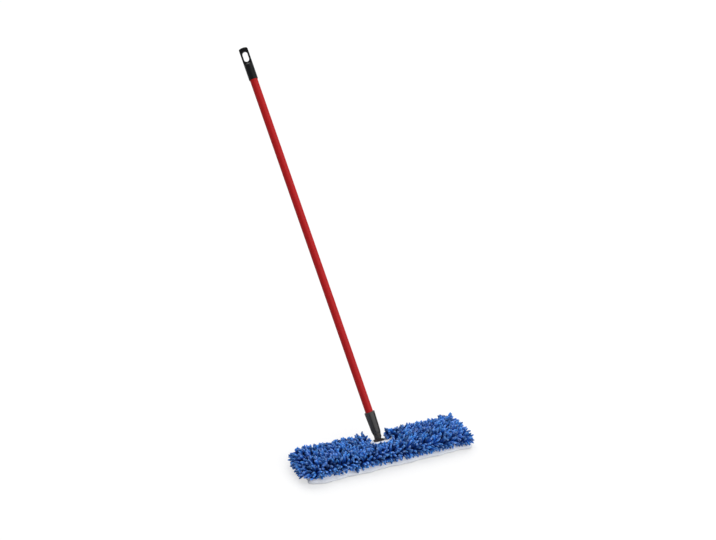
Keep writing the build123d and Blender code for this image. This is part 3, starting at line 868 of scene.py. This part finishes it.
class MOP_OT_pile(bpy.types.Operator):
    """Plants the chenille fingers, in fields around the notch"""
    bl_idname = "mop.pile"
    bl_label = "Chenille pile"

    def execute(self, context):
        pile = context.scene.mop_pile
        backing = BVHTree.FromObject(bpy.data.objects["chenille_backing"], context.evaluated_depsgraph_get())
        draw = random.Random(pile.seed)
        templates = [model_finger(pile, math.radians(bend)) for bend in FINGER_BENDS]
        fingers = top_fingers(pile, backing, templates, draw)
        fingers += rim_fingers(pile, templates, draw)
        fingers += edge_fingers(pile, backing, templates, draw)
        for template in templates:
            bpy.data.objects.remove(template)
        yarn = chenille_yarn(context.scene.mop_colours)
        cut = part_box("chenille_right")[0].x
        fields = {"left": [], "front": [], "right": [], "rim": []}
        for finger in fingers:
            fields[field_of(finger.data.vertices[0].co, cut)].append(finger)
        for side, members in fields.items():
            bpy.ops.object.select_all(action="DESELECT")
            for finger in members:
                finger.select_set(True)
            context.view_layer.objects.active = members[0]
            bpy.ops.object.join()
            field = context.object
            field.name = f"chenille_pile_{side}"
            dress(field, yarn)
            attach(field, HEAD)
            if side == "rim":
                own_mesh(field)
            else:
                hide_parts(f"chenille_{side}")
        return {"FINISHED"}


class MOP_OT_handle_finishes(bpy.types.Operator):
    """Paints the handle and its swivel joint"""
    bl_idname = "mop.handle_finishes"
    bl_label = "Handle finishes"

    def execute(self, context):
        colours = context.scene.mop_colours
        finishes = {
            "handle_tube": powder_coat(colours),
            "hanger_cap": moulded_plastic("gloss_polypropylene", colours.cap, 0.3, 0.8, 0.02, 0.1),
            "handle_socket": grooved_plastic(colours),
            "threaded_tip": moulded_plastic("tip_polypropylene", colours.cap, 0.5, 0.8, 0.03),
            "swivel_tee": moulded_plastic("tee_nylon", colours.tee, 0.5, 0.9, 0.04),
            "swivel_pin": metal("black_oxide_steel", colours.pin, 0.45),
        }
        for name, material in finishes.items():
            paint(frame["nodes"][name], material)
        return {"FINISHED"}


class MOP_OT_frame_finishes(bpy.types.Operator):
    """Paints the moulded frame, its screws and the flip axle"""
    bl_idname = "mop.frame_finishes"
    bl_label = "Frame finishes"

    def execute(self, context):
        colours = context.scene.mop_colours
        white = moulded_plastic("frame_polypropylene", colours.frame, 0.45, 1.0, 0.03)
        steel = metal("zinc_steel", colours.steel, 0.35)
        finishes = {"frame_lower_half": white, "frame_upper_half": white,
                    "frame_screws": steel, "flip_axle": steel}
        for name, material in finishes.items():
            paint(frame["nodes"][name], material)
        return {"FINISHED"}


def seen_directly(tree):
    """1 for what the camera sees, also in a mirror or through glass, and 0 for scattered light."""
    rays = add_node(tree, "ShaderNodeLightPath").outputs
    mirrored = add_node(tree, "ShaderNodeMath", {
        0: rays["Is Camera Ray"], 1: rays["Is Glossy Ray"]}, operation="MAXIMUM")
    direct = add_node(tree, "ShaderNodeMath", {
        0: mirrored.outputs[0], 1: rays["Is Transmission Ray"]}, operation="MAXIMUM")
    return direct.outputs[0]


def studio_floor(colours, glow):
    """Seamless paper: it lights the mop from below, and the camera sees it white with a soft shadow."""
    material = bpy.data.materials.new("studio_paper")
    material.use_nodes = True
    tree = material.node_tree
    tree.nodes.clear()
    bounce = add_node(tree, "ShaderNodeBsdfDiffuse", {"Color": colours.floor_bounce}).outputs[0]
    paper = add_node(tree, "ShaderNodeBsdfDiffuse", {"Color": colours.floor}).outputs[0]
    white = add_node(tree, "ShaderNodeEmission", {"Color": linear("#ffffff"), "Strength": 1.0}).outputs[0]
    seen = add_node(tree, "ShaderNodeMixShader", {0: glow, 1: paper, 2: white}).outputs[0]
    surface = add_node(tree, "ShaderNodeMixShader", {0: seen_directly(tree), 1: bounce, 2: seen})
    add_node(tree, "ShaderNodeOutputMaterial", {"Surface": surface.outputs[0]})
    return material


def studio_sky(colours, strength):
    """Even white light from all round, plain white where the camera or a reflection sees it."""
    world = bpy.data.worlds.new("studio")
    bpy.context.scene.world = world
    world.use_nodes = True
    tree = world.node_tree
    tree.nodes.clear()
    light = add_node(tree, "ShaderNodeBackground", {"Color": colours.sky_light, "Strength": strength})
    white = add_node(tree, "ShaderNodeBackground", {"Color": linear("#ffffff"), "Strength": 1.0})
    mixed = add_node(tree, "ShaderNodeMixShader", {
        0: seen_directly(tree), 1: light.outputs[0], 2: white.outputs[0]})
    add_node(tree, "ShaderNodeOutputWorld", {"Surface": mixed.outputs[0]})


class MOP_OT_studio(bpy.types.Operator):
    """Sets up the floor, the light and the camera"""
    bl_idname = "mop.studio"
    bl_label = "Studio"

    def execute(self, context):
        studio, colours = context.scene.mop_studio, context.scene.mop_colours
        bpy.ops.object.select_all(action="DESELECT")
        # The paper lies just under the cloth, so that the two don't share a plane
        bpy.ops.mesh.primitive_plane_add(size=30, location=(0, 0, -0.5 * MM))
        floor = context.object
        floor.name = "floor"
        floor.data.materials.append(studio_floor(colours, studio.floor_glow))
        studio_sky(colours, studio.sky)
        level = math.radians(90)
        for energy, height, turn in ((studio.key, studio.key_height, studio.key_turn),
                                     (studio.back, studio.back_height, studio.back_turn)):
            bpy.ops.object.light_add(type="SUN", rotation=(level - height, 0, turn - studio.camera_turn))
            context.object.data.energy = energy
            context.object.data.angle = studio.light_spread
        aim = (level - studio.camera_pitch, 0, -studio.camera_turn)
        bpy.ops.object.camera_add(location=studio.camera_place, rotation=aim)
        camera = context.object
        camera.data.sensor_width = 36
        camera.data.lens = studio.focal_length / MM
        context.scene.camera = camera
        context.scene.view_settings.view_transform = "Standard"
        return {"FINISHED"}


class MOP_PT_sidebar(bpy.types.Panel):
    """Lists the mop's steps in the sidebar"""
    bl_idname = "MOP_PT_sidebar"
    bl_label = "Flip mop"
    bl_space_type = "VIEW_3D"
    bl_region_type = "UI"
    bl_category = "Flip mop"

    def draw(self, context):
        for step in STEPS:
            self.layout.operator(step.bl_idname)
        for group in SETTINGS:
            settings = getattr(context.scene, group)
            for name in settings.bl_rna.properties.keys():
                if name not in ("rna_type", "name"):
                    self.layout.prop(settings, name)


STEPS = (MOP_OT_sleeve, MOP_OT_lining, MOP_OT_pile,
         MOP_OT_handle_finishes, MOP_OT_frame_finishes, MOP_OT_studio)
SETTINGS = {"mop_sleeve": MopSleeveSettings, "mop_pile": MopPileSettings,
            "mop_colours": MopColourSettings, "mop_studio": MopStudioSettings}


def register():
    for group, settings in SETTINGS.items():
        bpy.utils.register_class(settings)
        setattr(bpy.types.Scene, group, bpy.props.PointerProperty(type=settings))
    for step in STEPS:
        bpy.utils.register_class(step)
    bpy.utils.register_class(MOP_PT_sidebar)


def unregister():
    bpy.utils.unregister_class(MOP_PT_sidebar)
    for step in reversed(STEPS):
        bpy.utils.unregister_class(step)
    for group, settings in reversed(SETTINGS.items()):
        delattr(bpy.types.Scene, group)
        bpy.utils.unregister_class(settings)


def main():
    register()
    bpy.ops.mop.sleeve()
    bpy.ops.mop.lining()
    bpy.ops.mop.pile()
    bpy.ops.mop.handle_finishes()
    bpy.ops.mop.frame_finishes()
    bpy.ops.mop.studio()


if __name__ == "__main__":
    main()
